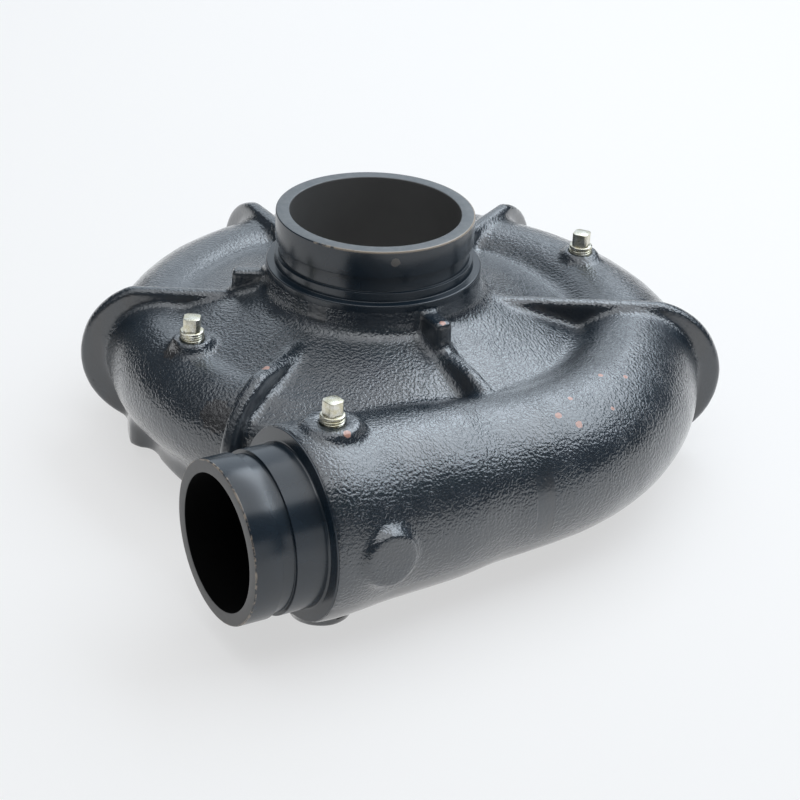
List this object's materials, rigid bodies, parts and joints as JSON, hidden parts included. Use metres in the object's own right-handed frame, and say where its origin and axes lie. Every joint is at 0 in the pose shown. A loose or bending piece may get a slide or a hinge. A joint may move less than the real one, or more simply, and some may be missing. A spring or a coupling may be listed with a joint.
{
  "type": "volute pump casing",
  "caption": "Cast volute pump casing with a spiral scroll, grooved suction and tangential discharge ends, radial ribs ending in round lugs, and square-head plugs in tapped bosses.",
  "frame": {"origin": "suction axis at the plane of the back mounting face", "axes": "+Z along the suction axis, out of the suction end; -Y out of the discharge end"},
  "size_m": [0.3885, 0.3596, 0.1545],
  "materials": {
    "casing_paint": "dark blue-grey gloss paint over a rough casting",
    "plug_zinc": "pale yellow-silver zinc plate"
  },
  "bodies": {
    "root": {"casing": "casing_paint", "plug_discharge": "plug_zinc", "plug_tail": "plug_zinc", "plug_head": "plug_zinc"}
  },
  "joints": []
}
